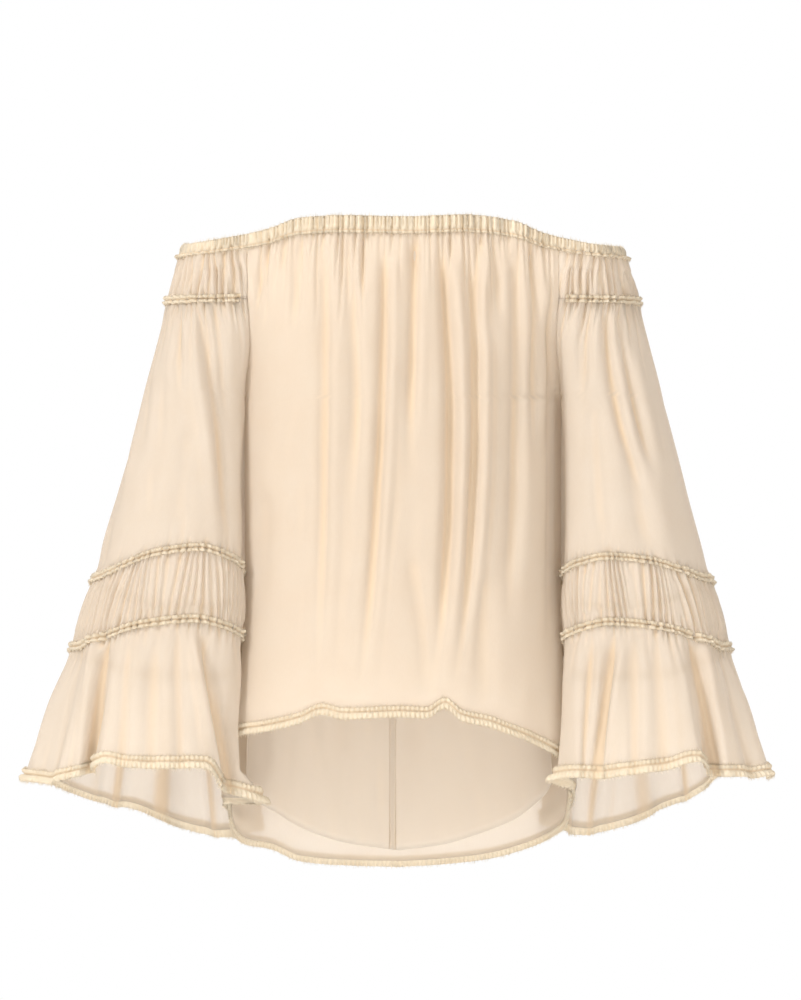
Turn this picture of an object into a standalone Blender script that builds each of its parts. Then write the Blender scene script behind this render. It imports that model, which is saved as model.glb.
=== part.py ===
"""Off-the-shoulder silk blouse, hollow and filled out as worn, with nobody in it.

The blouse stands in its own frame: +Z up, -Y to the front, +X to the right of somebody who looks
at its front. The origin is the middle of the neckline, level with the tops of the shoulders.
Every piece of cloth is a wall through rings that are worked out below from a few tables of sizes.
Sizes are in millimetres and become metres when a piece's mesh is made.
"""
import math
from collections import namedtuple

import bpy
import numpy as np

# Cloth and seams
MM = 0.001                 # one millimetre, in metres
WALL = 1.4                 # thickness of every cloth wall
SEAM_GAP = 0.3             # between two pieces that are sewn together
TRIM_GAP = 0.45            # between a trim and the cloth it is stitched to

# Heights of the seams, as drops below the neckline
SHOULDER_SEAM = 50.0       # shoulder band to upper sleeve
UNDERARM = 150.0           # lowest point of the armhole
ELBOW_SEAM = 330.0         # upper sleeve to cuff band
CUFF_SEAM = 397.0          # cuff band to flounce
SLEEVE_HEM = 521.0         # lower edge of the flounce
BODY_HEM = 480.0           # lower edge of the body, before the hem line's own shape
NECK_SHAPE_END = 60.0      # the neckline's rise has died out at this drop

# Trims: how far each reaches above and below the edge or seam that carries it
NECK_TRIM = (9.5, 7.0)
SEAM_TRIM = (7.0, 7.0)
HEM_TRIM = (8.0, 9.5)

# The body's rings
SIDE_LINE = -12.0          # how far in front of the origin the side seams lie
ROUNDNESS = 2.4            # power of the rings: 2 is an ellipse, more is boxier
SEAM_PULL = 0.12           # share of a sleeve's ring that is drawn in to an armhole edge
EDGE_SHARE = 0.07          # share of a body panel's width, at its edges, that stays unraised
LINING_INSET = 10.5        # how far the lining hangs inside the body
CENTRE_BACK_SEAM = 0.03    # how far the lining's back seam lies off the middle, in quarter rings

BODY_QUARTER = 225.0       # length of a quarter of the body's ring, about
SLEEVE_GIRTH = 420.0       # length of the sleeve's ring, about

# How finely each piece is divided
GATHER = 3                 # columns to one gather
FRONT_GATHERS = 24
BACK_GATHERS = 18
SLEEVE_GATHERS = 13
LINING_COLUMNS = 14
ANGLE_SAMPLES = 400

# How the cloth behaves
NECK_TURN = 40.0           # half the depth over which the neckline's front line becomes its back line
FOLD_START = 8.0           # a fold is at its deepest from this part of its length on, 1 / 8
FOLD_END = 2.5             # it fades over this part of its length at its lower end, 1 / 2.5
LIP_PLACE = 1.7            # how far from a fold's line its lip lies, in fold widths
LIP_HEIGHT = 0.5           # the lip's height as a share of the fold's depth
MOST_GATHER = 1.15         # the highest gather, as a share of the gathers' depth
SLEEVE_SOFTENING = 40.0    # the sleeve turns off the body softly from this far below the underarm
SLEEVE_SOFTNESS = 2.5
UNDER_HEM = 55.0           # how far the flounce may reach in under the body's hem
UNDER_HEM_GAP = 15.0       # how far below the hem's trim it starts to turn in
UNDER_HEM_RISE = 28.0      # height over which it turns in
LINING_STEP = 0.02         # quarter rings to each side, to find which way the lining faces

Level = namedtuple("Level", "height shift half_width front_depth back_depth")
BODY_LEVELS = (
    Level(-640, -4, 170.0, 104, 112),
    Level(-480, -4, 166.0, 101, 104),
    Level(-400, -1, 160.0, 97, 96),
    Level(-300, 0, 157.5, 96, 92),
    Level(-200, 0, 157.5, 99, 94),
    Level(-150, 0, 158.5, 102, 97),
    Level(-100, 0, 163.0, 103, 98),
    Level(-50, 0, 182.0, 98, 94),
    Level(0, 0, 198.0, 93, 91),
    Level(40, 0, 200.0, 92, 90),
)

ArmholePoint = namedtuple("ArmholePoint", "drop front back")
ARMHOLE = (
    ArmholePoint(-12, 152.0, 148.0),
    ArmholePoint(50, 153.0, 150.0),
    ArmholePoint(95, 155.5, 154.0),
    ArmholePoint(127, 157.7, 157.0),
    ArmholePoint(150, 158.5, 158.5),
)

NeckPoint = namedtuple("NeckPoint", "across front back")
NECK_LINE = (
    NeckPoint(-226, -6.0, -6),
    NeckPoint(-200, -4.0, -3),
    NeckPoint(-160, 2.0, 3),
    NeckPoint(-131, 8.5, 7),
    NeckPoint(-101, 18.0, 11),
    NeckPoint(-60, 20.5, 14),
    NeckPoint(0, 19.0, 14),
    NeckPoint(60, 21.0, 14),
    NeckPoint(106, 16.0, 10),
    NeckPoint(135, 5.0, 5),
    NeckPoint(163, -2.0, 0),
    NeckPoint(195, -7.0, -5),
    NeckPoint(226, -8.0, -8),
)

HemPoint = namedtuple("HemPoint", "turn body lining")
HEM_LINE = (
    HemPoint(-2.0, -618, -605),
    HemPoint(-1.75, -616, -597),
    HemPoint(-1.55, -611, -583),
    HemPoint(-1.4, -597, -567),
    HemPoint(-1.25, -590, -552),
    HemPoint(-1.1, -570, -533),
    HemPoint(-1.0, -534, -508),
    HemPoint(-0.9, -494, -475),
    HemPoint(-0.8, -475, -456),
    HemPoint(-0.6, -468, -448),
    HemPoint(-0.45, -460, -442),
    HemPoint(-0.35, -451, -436),
    HemPoint(-0.25, -455, -436),
    HemPoint(0.0, -453, -436),
    HemPoint(0.12, -454, -436),
    HemPoint(0.2, -445, -436),
    HemPoint(0.28, -457, -437),
    HemPoint(0.4, -463, -440),
    HemPoint(0.5, -471, -444),
    HemPoint(0.6, -479, -452),
    HemPoint(0.75, -493, -468),
    HemPoint(0.9, -508, -484),
    HemPoint(1.0, -538, -507),
    HemPoint(1.1, -566, -531),
    HemPoint(1.25, -582, -551),
    HemPoint(1.4, -596, -569),
    HemPoint(1.6, -609, -586),
    HemPoint(1.8, -615, -599),
    HemPoint(2.0, -618, -605),
)

Fold = namedtuple("Fold", "top bottom top_x bow_x bottom_x depth width lip")
FRONT_FOLDS = (
    Fold(-5, -440, -77, -79, -83, 3.0, 7, 0.8),
    Fold(-45, -330, -17, -23, -34, 4.5, 6, 0.8),
    Fold(0, -130, 10, 9, 11, 4.0, 6, 0.5),
    Fold(0, -450, 35, 46, 29, 6.5, 8, 0.9),
    Fold(-10, -420, 64, 67, 52, 4.0, 7, 1.3),
    Fold(0, -180, -56, -50, -46, 2.5, 8, 0.3),
    Fold(10, -60, -38, -38, -38, 3.0, 5, 0.4),
    Fold(10, -190, 108, 106, 101, 3.5, 8, 0.5),
    Fold(10, -170, 123, 124, 120, 4.0, 6, 0.5),
    Fold(-60, -430, 140, 143, 139, 4.5, 10, 0.0),
    Fold(5, -90, -100, -99, -98, 2.0, 7, 0.4),
    Fold(5, -110, -126, -134, -140, 2.5, 8, 0.3),
)
BACK_FOLDS = (
    Fold(0, -520, -112, -108, -104, 4.0, 10, 0.6),
    Fold(0, -300, -70, -66, -60, 3.5, 9, 0.6),
    Fold(0, -560, -24, -30, -22, 5.0, 10, 0.7),
    Fold(0, -240, 8, 10, 12, 3.0, 8, 0.5),
    Fold(0, -540, 46, 40, 50, 5.0, 10, 0.8),
    Fold(0, -340, 84, 88, 92, 4.0, 9, 0.5),
    Fold(0, -500, 122, 118, 112, 4.0, 10, 0.5),
)

SIDES = {-1: "left", 1: "right"}
SleeveLevel = namedtuple(
    "SleeveLevel", "drop inner outer sway centre_y front_depth back_depth lift_left lift_right sink clearance")
SLEEVE_LEVELS = (
    SleeveLevel(-12, 112, 218, 0, -4, 76, 61, 0, 0, 0, 3.0),
    SleeveLevel(20, 113, 225, 0, -4, 76, 62, 0, 0, 0, 3.0),
    SleeveLevel(50, 118, 234, 0, -4, 75, 63, 0, 0, 0, 3.0),
    SleeveLevel(95, 134, 246, 0, -4, 76, 66, 2, 1, 2, 3.0),
    SleeveLevel(150, 149, 260, 0, -2, 78, 73, 8, 5, 6, 3.0),
    SleeveLevel(190, 149, 270, 0, 0, 80, 79, 14, 10, 10, 4.0),
    SleeveLevel(250, 147, 286, 0, 2, 83, 84, 24, 17, 18, 5.0),
    SleeveLevel(330, 145, 308, -1, 4, 87, 87, 36, 27, 26, 6.0),
    SleeveLevel(397, 142, 328, -2.5, 5, 91, 91, 33, 30, 32, 6.5),
    SleeveLevel(450, 136, 347, -3.5, 4, 98, 98, 29, 26, 40, 8.0),
    SleeveLevel(540, 128, 373, -4.5, 2, 108, 108, 26, 22, 50, 9.0),
)

Rise = namedtuple("Rise", "around share")
RING_TILT = (
    Rise(0.0, 0.0),
    Rise(0.08, 0.3),
    Rise(0.14, 0.75),
    Rise(0.2, 1.0),
    Rise(0.28, 0.85),
    Rise(0.35, 0.45),
    Rise(0.4, 0.2),
    Rise(0.5, 0.0),
    Rise(0.6, -0.35),
    Rise(0.7, -0.9),
    Rise(0.8, -1.0),
    Rise(0.9, -0.6),
    Rise(1.0, 0.0),
)

# Waves round the flounce's hem: how far each stands out or in, and how much lower the hem hangs.
Wave = namedtuple("Wave", "around left right fall_left fall_right")
FLOUNCE_WAVES = (
    Wave(0.000, 0, 0, 26, 18),
    Wave(0.050, 5, 4, 28, 12),
    Wave(0.100, 4, 5, 29, 8),
    Wave(0.150, -9, 6, 27, 10),
    Wave(0.180, 5, -9, 8, 15),
    Wave(0.215, 10, 4, 8, 11),
    Wave(0.265, 9, 6, 5, 3),
    Wave(0.300, 12, 9, -3, -7),
    Wave(0.325, -9, -12, 3, 4),
    Wave(0.365, 4, 5, 6, 0),
    Wave(0.420, -5, 7, 4, -3),
    Wave(0.470, 5, -4, 2, 0),
    Wave(0.530, 6, 5, 0, -8),
    Wave(0.580, -8, 8, -4, -17),
    Wave(0.640, 9, -10, -8, -25),
    Wave(0.700, 6, 9, -8, -13),
    Wave(0.750, -12, -11, 0, 0),
    Wave(0.785, 13, 4, 13, 10),
    Wave(0.830, 8, 11, 21, 19),
    Wave(0.870, -12, -10, 26, 22),
    Wave(0.915, 9, 6, 29, 23),
    Wave(0.955, -3, 3, 29, 22),
    Wave(1.000, 0, 0, 26, 18),
)

GatherDepth = namedtuple("GatherDepth", "drop body sleeve")
GATHER_DEPTHS = (
    GatherDepth(-12, 2.2, 2.0),
    GatherDepth(57, 1.0, 2.0),
    GatherDepth(95, 0.6, 1.0),
    GatherDepth(150, 0.0, 0.6),
    GatherDepth(262, 0.0, 0.6),
    GatherDepth(323, 0.0, 1.8),
    GatherDepth(404, 0.0, 1.8),
    GatherDepth(450, 0.0, 0.5),
    GatherDepth(512, 0.0, 0.3),
    GatherDepth(640, 0.0, 0.3),
)

# Drops at which the cloth's rings are worked out. Between two of them it is drawn straight,
# so each trim, and each band between two seams, lies flush along its height.
BODY_RINGS = (-NECK_TRIM[0], SHOULDER_SEAM + SEAM_TRIM[1], 95, 127, UNDERARM, 220, 330,
              BODY_HEM - HEM_TRIM[0], BODY_HEM + HEM_TRIM[1])
SLEEVE_RINGS = (-NECK_TRIM[0], SHOULDER_SEAM + SEAM_TRIM[1], 95, 127, UNDERARM, 235,
                ELBOW_SEAM - SEAM_TRIM[0], CUFF_SEAM + SEAM_TRIM[1], 440, 475, 496,
                SLEEVE_HEM - HEM_TRIM[0], SLEEVE_HEM, SLEEVE_HEM + HEM_TRIM[1])
LINING_RINGS = (0, 12, 60, 150, 300, BODY_HEM)


def read(rows, column, at):
    """A smooth value from one column of a table, at places along its first column."""
    places = np.array([row[0] for row in rows], float)
    values = np.array([getattr(row, column) for row in rows], float)
    steps = np.diff(places)
    rises = np.diff(values) / steps
    slopes = np.concatenate(([rises[0]], np.zeros(len(rises) - 1), [rises[-1]]))
    for i in range(1, len(rises)):
        if rises[i - 1] * rises[i] > 0:
            slopes[i] = 2 / (1 / rises[i - 1] + 1 / rises[i])
    at = np.clip(np.asarray(at, float), places[0], places[-1])
    i = np.clip(np.searchsorted(places, at, side="right") - 1, 0, len(steps) - 1)
    h = steps[i]
    t = (at - places[i]) / h
    return ((2 * t ** 3 - 3 * t ** 2 + 1) * values[i] + (t ** 3 - 2 * t ** 2 + t) * h * slopes[i]
            + (3 * t ** 2 - 2 * t ** 3) * values[i + 1] + (t ** 3 - t ** 2) * h * slopes[i + 1])


def even_angles(half_width, depth):
    """Angles along a quarter ring, evenly spaced by length, for any share of the quarter."""
    angles = np.linspace(0, math.pi / 2, ANGLE_SAMPLES)
    across = half_width * np.sin(angles) ** (2 / ROUNDNESS)
    deep = depth * np.cos(angles) ** (2 / ROUNDNESS)
    lengths = np.concatenate(([0], np.cumsum(np.hypot(np.diff(across), np.diff(deep)))))
    return lengths / lengths[-1], angles


BODY_SHARES, BODY_ANGLES = even_angles(half_width=160, depth=98)
SLEEVE_SHARES, SLEEVE_ANGLES = even_angles(half_width=80, depth=80)


def neck_height(x, y):
    """Height of the neckline above the shoulders, at a place around it."""
    front = read(NECK_LINE, "front", x)
    back = read(NECK_LINE, "back", x)
    to_back = np.clip((y + NECK_TURN) / (2 * NECK_TURN), 0, 1)
    return front + (back - front) * to_back


def neck_fade(drop):
    """How much of the neckline's shape is left at a drop below it."""
    return np.clip((NECK_SHAPE_END - drop) / (NECK_SHAPE_END - NECK_TRIM[1]), 0, 1)


def body_ring(turn, height):
    """A point on the body's smooth ring. turn is 0 at the front, 1 at the right side, 2 behind."""
    turn = np.where(turn > 2, turn - 4, turn)
    side = np.sign(turn)
    far = np.abs(turn)
    angle = np.interp(np.where(far > 1, 2 - far, far), BODY_SHARES, BODY_ANGLES)
    x = side * read(BODY_LEVELS, "half_width", height) * np.sin(angle) ** (2 / ROUNDNESS)
    deep = np.cos(angle) ** (2 / ROUNDNESS)
    front = -read(BODY_LEVELS, "front_depth", height) * deep
    back = read(BODY_LEVELS, "back_depth", height) * deep
    return x + read(BODY_LEVELS, "shift", height), SIDE_LINE + np.where(far > 1, back, front)


def body_form(turn, drop, hem="body"):
    """A point on the smooth body at a turn and at a drop below the neckline."""
    turn = np.asarray(turn, float)
    x, y = body_ring(turn, -drop * np.ones_like(turn))
    signed_turn = np.where(turn > 2, turn - 4, turn)
    hem_height = read(HEM_LINE, hem, signed_turn)
    straight_from = BODY_HEM - HEM_TRIM[0]
    if drop <= UNDERARM:
        z = neck_height(x, y) * neck_fade(drop) - drop
    elif drop <= straight_from:
        share = (drop - UNDERARM) / (straight_from - UNDERARM)
        z = -UNDERARM + share * (hem_height + HEM_TRIM[0] + UNDERARM)
    else:
        z = hem_height + HEM_TRIM[0] - (drop - straight_from)
    x, y = body_ring(turn, z)
    return np.stack([x, y, z], axis=-1)


def armhole_edge(drop, column):
    """How far an armhole edge lies from the middle of its panel, in quarter rings."""
    if drop >= UNDERARM:
        return 1.0
    share = read(ARMHOLE, column, drop) / read(BODY_LEVELS, "half_width", -drop)
    angle = math.asin(min(share, 1.0) ** (ROUNDNESS / 2))
    return float(np.interp(angle, BODY_ANGLES, BODY_SHARES))


def fold_depth(folds, x, z):
    """How far the folds push the cloth out at a place, or in where it is below 0.

    A fold is a trough with a lip along its right side. It is deepest near its top and fades
    towards its lower end.
    """
    push = np.zeros_like(x)
    for fold in folds:
        down = np.clip((fold.top - z) / (fold.top - fold.bottom), 0, 1)
        bend = 4 * down * (1 - down)
        line = fold.top_x + (fold.bottom_x - fold.top_x) * down
        line = line + (fold.bow_x - (fold.top_x + fold.bottom_x) / 2) * bend
        strength = np.clip(np.minimum(down * FOLD_START, (1 - down) * FOLD_END), 0, 1) * fold.depth
        away = (x - line) / fold.width
        lip = LIP_HEIGHT * fold.lip * np.exp(-(away - LIP_PLACE) ** 2)
        push += strength * (lip - np.exp(-away ** 2))
    return push


def normals(points):
    """Outward directions of a sheet of points, rows going down and columns to the right."""
    across = np.cross(np.gradient(points, axis=0), np.gradient(points, axis=1))
    return across / np.linalg.norm(across, axis=2, keepdims=True)


def gather_wave(columns, part):
    """Heights of the gathers along a row, uneven as in soft cloth. part tells pieces apart."""
    column = np.arange(columns)
    number = column // GATHER
    uneven = np.full(columns, 0.8)
    for share, turn, part_turn in ((0.2, 2.4, 1), (0.15, 5.3, 2)):
        uneven += share * np.sin(number * turn + part * part_turn)
    wave = np.cos(2 * math.pi * column / GATHER) * uneven
    wave[0] = wave[-1] = 0
    return wave


# A sheet of cloth: its rings' drops, its points and their outward directions, and, for each
# column, whether the quads to its right are halved by a line that rises or falls to the right.
Sheet = namedtuple("Sheet", "drops points directions rising")


def halved(columns, rises_first):
    """A halving that mirrors itself about the sheet's middle."""
    first_half = np.arange(columns) < columns // 2
    return first_half == rises_first


def gathered(form, drops, wave, column):
    """A sheet of cloth: its smooth form with the gathers raised on it."""
    depths = read(GATHER_DEPTHS, column, drops)
    directions = normals(form)
    points = form + directions * (depths[:, None] * wave[None, :])[:, :, None]
    return Sheet(drops, points, directions, halved(len(wave), column == "body"))


def between(sheet, upper, lower):
    """The part of a sheet from one drop to another, with straight cloth between its rings."""
    drops = [upper] + [drop for drop in sheet.drops if upper < drop < lower] + [lower]
    points, directions = [], []
    for drop in drops:
        ring = min(max(i for i, place in enumerate(sheet.drops) if place <= drop), len(sheet.drops) - 2)
        share = (drop - sheet.drops[ring]) / (sheet.drops[ring + 1] - sheet.drops[ring])
        for rows, source in ((points, sheet.points), (directions, sheet.directions)):
            rows.append(source[ring] * (1 - share) + source[ring + 1] * share)
    return Sheet(drops, np.array(points), np.array(directions), sheet.rising)


def body_sheet(columns, start, stop, folds, part):
    """The front or the back of the body between two side edges, with folds and gathers."""
    shares = np.linspace(0, 1, columns)
    form = np.array([body_form(start(d) + (stop(d) - start(d)) * shares, d) for d in BODY_RINGS])
    push = fold_depth(folds, form[:, :, 0], form[:, :, 2])
    smooth_edge = np.clip(np.minimum(shares, 1 - shares) / EDGE_SHARE, 0, 1)
    push = np.where(push > 0, push * smooth_edge, push)
    form = form + normals(form) * push[:, :, None]
    return gathered(form, BODY_RINGS, gather_wave(columns, part), "body")


def seam_turn():
    """Half of a side seam's gap, in quarter rings."""
    return SEAM_GAP / 2 / BODY_QUARTER


def front_edge(drop):
    return armhole_edge(drop, "front") - seam_turn()


def back_edge(drop):
    return 2 - armhole_edge(drop, "back") + seam_turn()


def front_sheet():
    columns = FRONT_GATHERS * GATHER + 1
    return body_sheet(columns, lambda d: -front_edge(d), front_edge, FRONT_FOLDS, 0)


def back_sheet():
    columns = BACK_GATHERS * GATHER + 1
    return body_sheet(columns, back_edge, lambda d: 4 - back_edge(d), BACK_FOLDS, 1)


def body_side(y, z, side):
    """How far out the body's side reaches at a depth and a height."""
    from_line = y - SIDE_LINE
    front = read(BODY_LEVELS, "front_depth", z)
    back = read(BODY_LEVELS, "back_depth", z)
    share = np.clip(np.abs(from_line) / np.where(from_line < 0, front, back), 0, 1)
    reach = read(BODY_LEVELS, "half_width", z) * (1 - share ** ROUNDNESS) ** (1 / ROUNDNESS)
    return reach + side * read(BODY_LEVELS, "shift", z)


def below_hem(y, z):
    """How far a place beside the body lies below the body's hem and its trim."""
    from_line = y - SIDE_LINE
    front = read(BODY_LEVELS, "front_depth", z)
    back = read(BODY_LEVELS, "back_depth", z)
    share = np.clip(np.abs(from_line) / np.where(from_line < 0, front, back), 0, 1)
    turn = np.interp(np.arccos(share ** (ROUNDNESS / 2)), BODY_ANGLES, BODY_SHARES)
    hem = read(HEM_LINE, "body", np.where(from_line < 0, turn, 2 - turn))
    return hem - HEM_TRIM[1] - UNDER_HEM_GAP - z


def inner_place(y, drop):
    """Where around the sleeve's ring its inner side lies at a depth y."""
    forward = float(read(SLEEVE_LEVELS, "centre_y", drop)) - y
    forward /= float(read(SLEEVE_LEVELS, "front_depth" if forward > 0 else "back_depth", drop))
    angle = math.asin(min(abs(forward), 1.0) ** (ROUNDNESS / 2))
    return math.copysign(np.interp(angle, SLEEVE_ANGLES, SLEEVE_SHARES) / 4, forward)


def sleeve_ring(around, drop, side):
    """A point on the smooth sleeve. around is 0 at the inner side, 0.25 in front, 0.5 outside."""
    around = np.mod(around, 1)
    quarter = np.abs(np.mod(around * 4 + 1, 2) - 1)
    angle = np.interp(quarter, SLEEVE_SHARES, SLEEVE_ANGLES)
    out = np.cos(angle) ** (2 / ROUNDNESS) * np.where(np.abs(around - 0.5) < 0.25, 1, -1)
    forward = np.sin(angle) ** (2 / ROUNDNESS) * np.where(around < 0.5, 1, -1)
    inner = read(SLEEVE_LEVELS, "inner", drop)
    outer = read(SLEEVE_LEVELS, "outer", drop) + side * read(SLEEVE_LEVELS, "sway", drop)
    waves = read(FLOUNCE_WAVES, SIDES[side], around)
    flare = np.clip((drop - CUFF_SEAM - SEAM_TRIM[1]) / (SLEEVE_HEM - CUFF_SEAM), 0, 1)
    half_width = (outer - inner) / 2 + waves * flare
    half_depth = np.where(forward > 0, read(SLEEVE_LEVELS, "front_depth", drop),
                          read(SLEEVE_LEVELS, "back_depth", drop)) + waves * flare
    x = (inner + outer) / 2 + half_width * out
    y = read(SLEEVE_LEVELS, "centre_y", drop) - half_depth * forward
    rise = read(RING_TILT, "share", around)
    lift = read(SLEEVE_LEVELS, "lift_" + SIDES[side], drop)
    sink = read(SLEEVE_LEVELS, "sink", drop)
    z = neck_height(x * side, y) * neck_fade(drop) - drop + np.where(rise > 0, lift, sink) * rise
    z = z - read(FLOUNCE_WAVES, "fall_" + SIDES[side], around) * flare
    least = body_side(y, z, side) + read(SLEEVE_LEVELS, "clearance", drop)
    least = least - UNDER_HEM * np.clip(below_hem(y, z) / UNDER_HEM_RISE, 0, 1)
    over = x - least
    softness = np.clip((drop - UNDERARM) / SLEEVE_SOFTENING, 0, 1) * SLEEVE_SOFTNESS
    x = least + (over + np.sqrt(over ** 2 + 4 * softness ** 2)) / 2
    return np.stack([x, y, z], axis=-1)


def sleeve_form(share, drop, side):
    """The sleeve's ring, opened above the underarm and led to the armhole's two edges."""
    beyond = 2 * seam_turn() if drop < UNDERARM else 0
    turns = np.array([side * (front_edge(drop) + beyond), side * (back_edge(drop) - beyond)])
    front, back = body_form(turns, drop) * np.array([side, 1, 1])
    seam = SEAM_GAP / 2 / SLEEVE_GIRTH
    start = inner_place(front[1], drop) + seam
    stop = 1 + inner_place(back[1], drop) - seam
    points = sleeve_ring(start + (stop - start) * share, drop, side)
    if drop <= UNDERARM:
        for target, end, near in ((front, points[0], share), (back, points[-1], 1 - share)):
            pull = np.clip(1 - near / SEAM_PULL, 0, 1) ** 2
            points = points + (target + (SEAM_GAP, 0, 0) - end) * pull[:, None]
    return points


def sleeve_sheet(side):
    """A whole sleeve, its columns going to the right seen from outside."""
    columns = SLEEVE_GATHERS * GATHER + 1
    shares = np.linspace(0, 1, columns)
    form = np.array([sleeve_form(shares, drop, side) for drop in SLEEVE_RINGS])
    sheet = gathered(form, SLEEVE_RINGS, gather_wave(columns, 2 + side), "sleeve")
    if side > 0:
        return sheet
    flip = np.array([-1, 1, 1])
    return sheet._replace(points=sheet.points[:, ::-1] * flip,
                          directions=sheet.directions[:, ::-1] * flip)


def cloth(name, outer, inner, rising, colour, roughness, closed=False):
    """One closed solid between two sheets of points, as an object with its own material."""
    rows, columns = outer.shape[:2]
    corners = np.concatenate([outer.reshape(-1, 3), inner.reshape(-1, 3)]) * MM
    inside = rows * columns

    def corner(row, column):
        return row * columns + column % columns

    faces = []
    across = columns if closed else columns - 1
    for row in range(rows - 1):
        for column in range(across):
            a, b = corner(row, column), corner(row, column + 1)
            d, c = corner(row + 1, column), corner(row + 1, column + 1)
            halves = ((a, d, b), (d, c, b)) if rising[column] else ((a, d, c), (a, c, b))
            for first, second, third in halves:
                faces.append((first, second, third))
                faces.append((first + inside, third + inside, second + inside))
    edges = []
    for column in range(across):
        edges.append((corner(0, column), corner(0, column + 1)))
        edges.append((corner(rows - 1, column + 1), corner(rows - 1, column)))
    if not closed:
        for row in range(rows - 1):
            edges.append((corner(row + 1, 0), corner(row, 0)))
            edges.append((corner(row, columns - 1), corner(row + 1, columns - 1)))
    for start, end in edges:
        faces += [(start, end, end + inside), (start, end + inside, start + inside)]

    mesh = bpy.data.meshes.new(name)
    mesh.from_pydata(corners.tolist(), [], faces)
    mesh.shade_smooth()
    mesh.set_sharp_from_angle(angle=math.radians(60))
    material = bpy.data.materials.new(name)
    material.use_nodes = True
    shader = material.node_tree.nodes["Principled BSDF"]
    shader.inputs["Base Color"].default_value = (*colour, 1)
    shader.inputs["Roughness"].default_value = roughness
    mesh.materials.append(material)
    piece = bpy.data.objects.new(name, mesh)
    bpy.context.scene.collection.objects.link(piece)
    return piece


CHIFFON = (0.90, 0.79, 0.66)
LINING_SILK = (0.80, 0.66, 0.52)
FRAYED_SILK = (0.93, 0.82, 0.68)


def panel(name, sheet, colour=CHIFFON, roughness=0.6):
    inner = sheet.points - sheet.directions * WALL
    return cloth(name, sheet.points, inner, sheet.rising, colour, roughness)


def trim(name, sheet, closed=False):
    """A strip stitched over an edge or a seam, made from the cloth's own points, moved out."""
    inner = sheet.points + sheet.directions * TRIM_GAP
    outer = inner + sheet.directions * WALL
    return cloth(name, outer, inner, sheet.rising, FRAYED_SILK, 0.75, closed)


def side_name(name, side):
    return f"{name}_{SIDES[side]}"


def without_ends(sheet, columns=1):
    """The sheet without the columns at its ends, which lie in an armhole's crease."""
    kept = slice(columns, -columns)
    return Sheet(sheet.drops, sheet.points[:, kept], sheet.directions[:, kept], sheet.rising[kept])


def add_body(front, back):
    for name, sheet in (("front", front), ("back", back)):
        panel(name + "_panel", between(sheet, 0, BODY_HEM))
        trim("hem_trim_" + name, between(sheet, BODY_HEM - HEM_TRIM[0], BODY_HEM + HEM_TRIM[1]))


def lining_sheet(start, stop, columns):
    """Part of the lining, which hangs smooth inside the gathered body."""
    shares = np.linspace(0, 1, columns)
    turns = [start(d) + (stop(d) - start(d)) * shares for d in LINING_RINGS]
    before, form, after = (
        np.array([body_form(turn + step, d, "lining") for turn, d in zip(turns, LINING_RINGS)])
        for step in (-LINING_STEP, 0, LINING_STEP))
    across = np.cross(np.gradient(form, axis=0), after - before)
    directions = across / np.linalg.norm(across, axis=2, keepdims=True)
    inset_top = WALL + read(GATHER_DEPTHS, "body", 0) * MOST_GATHER + TRIM_GAP
    insets = np.array([inset_top, inset_top] + [LINING_INSET] * (len(LINING_RINGS) - 2))
    points = form - directions * insets[:, None, None]
    return Sheet(LINING_RINGS, points, directions, halved(columns, True))


def add_lining():
    back_seam = 2 + CENTRE_BACK_SEAM
    half = LINING_COLUMNS // 2 + 1
    pieces = (("front", lambda d: -front_edge(d), front_edge, LINING_COLUMNS + 1),
              ("back_right", back_edge, lambda d: back_seam - seam_turn(), half),
              ("back_left", lambda d: back_seam + seam_turn(), lambda d: 4 - back_edge(d), half))
    for name, start, stop, columns in pieces:
        panel("lining_" + name, lining_sheet(start, stop, columns), LINING_SILK, 0.5)


def add_sleeve(sheet, side):
    gap = SEAM_GAP / 2
    panel(side_name("shoulder_band", side), between(sheet, 0, SHOULDER_SEAM - gap))
    panel(side_name("upper_sleeve", side), between(sheet, SHOULDER_SEAM + gap, ELBOW_SEAM - gap))
    panel(side_name("cuff_band", side), between(sheet, ELBOW_SEAM + gap, CUFF_SEAM - gap))
    panel(side_name("flounce", side), between(sheet, CUFF_SEAM + gap, SLEEVE_HEM))

    upper, lower = SEAM_TRIM
    over_seam = between(sheet, SHOULDER_SEAM - upper, SHOULDER_SEAM + lower)
    trim(side_name("shoulder_trim", side), without_ends(over_seam, 2))
    trim(side_name("cuff_trim_upper", side), between(sheet, ELBOW_SEAM - upper, ELBOW_SEAM + lower))
    trim(side_name("cuff_trim_lower", side), between(sheet, CUFF_SEAM - upper, CUFF_SEAM + lower))
    upper, lower = HEM_TRIM
    trim(side_name("flounce_trim", side), between(sheet, SLEEVE_HEM - upper, SLEEVE_HEM + lower))


def add_neckline_trim(front, back, right, left):
    """The strip round the whole neckline: front, right shoulder, back and left shoulder."""
    order = [between(sheet, -NECK_TRIM[0], NECK_TRIM[1])
             for sheet in (front, without_ends(right), back, without_ends(left))]
    joined = Sheet(order[0].drops,
                   np.concatenate([sheet.points for sheet in order], axis=1),
                   np.concatenate([sheet.directions for sheet in order], axis=1),
                   np.concatenate([sheet.rising for sheet in order]))
    trim("neckline_trim", joined, closed=True)


for old in list(bpy.data.objects):
    bpy.data.objects.remove(old, do_unlink=True)
front_body, back_body = front_sheet(), back_sheet()
left_sleeve, right_sleeve = sleeve_sheet(-1), sleeve_sheet(1)
add_body(front_body, back_body)
add_lining()
add_sleeve(left_sleeve, -1)
add_sleeve(right_sleeve, 1)
add_neckline_trim(front_body, back_body, right_sleeve, left_sleeve)
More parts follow.
